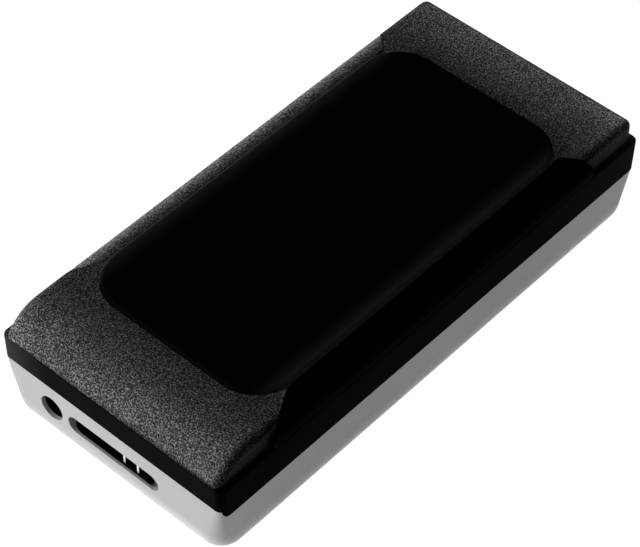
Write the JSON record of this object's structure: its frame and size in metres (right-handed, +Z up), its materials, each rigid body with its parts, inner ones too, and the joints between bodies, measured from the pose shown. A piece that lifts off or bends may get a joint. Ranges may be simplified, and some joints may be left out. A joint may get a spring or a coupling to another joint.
{
  "type": "external solid state drive",
  "caption": "Pocket external solid state drive: light grey tray, smooth black frame and grained cap with a rubber grip pad; a slot for a data plug and a round power socket in the front end.",
  "frame": {"origin": "middle of the underside, on the surface the drive lies on", "axes": "+Z up, +Y from the front end with the ports to the back end, +X to the right seen from the front"},
  "size_m": [0.034, 0.073, 0.0168],
  "materials": {
    "tray_plastic": "smooth light grey moulding",
    "frame_plastic": "smooth satin black moulding",
    "cap_plastic": "dark grey with a fine grain",
    "pad_rubber": "satin deep black",
    "circuit_board": "green solder mask",
    "port_metal": "dark plated sheet",
    "bright_metal": "bright plated",
    "contact_metal": "gilt",
    "black_plastic": "matt black",
    "chip_resin": "moulded resin",
    "thermal_rubber": "soft gap filler",
    "spreader_metal": "rolled sheet",
    "capacitor_body": "plain"
  },
  "bodies": {
    "root": {"lower_tray": "tray_plastic", "mid_frame": "frame_plastic", "grained_cap": "cap_plastic", "grip_pad": "pad_rubber", "main_board": "circuit_board", "port_shell": "port_metal", "port_key": "bright_metal", "port_insulator": "black_plastic", "port_contacts": "contact_metal", "jack_housing": "black_plastic", "jack_pin": "bright_metal", "jack_spring": "contact_metal", "module_board": "circuit_board", "module_socket": "black_plastic", "module_standoff": "contact_metal", "module_screw": "bright_metal", "flash_chips": "chip_resin", "module_controller": "chip_resin", "cache_chip": "chip_resin", "thermal_pad": "thermal_rubber", "heat_spreader": "spreader_metal", "bridge_chip": "chip_resin", "clock_crystal": "bright_metal", "power_inductor": "chip_resin", "capacitors": "capacitor_body", "case_screws": "bright_metal"}
  },
  "joints": []
}
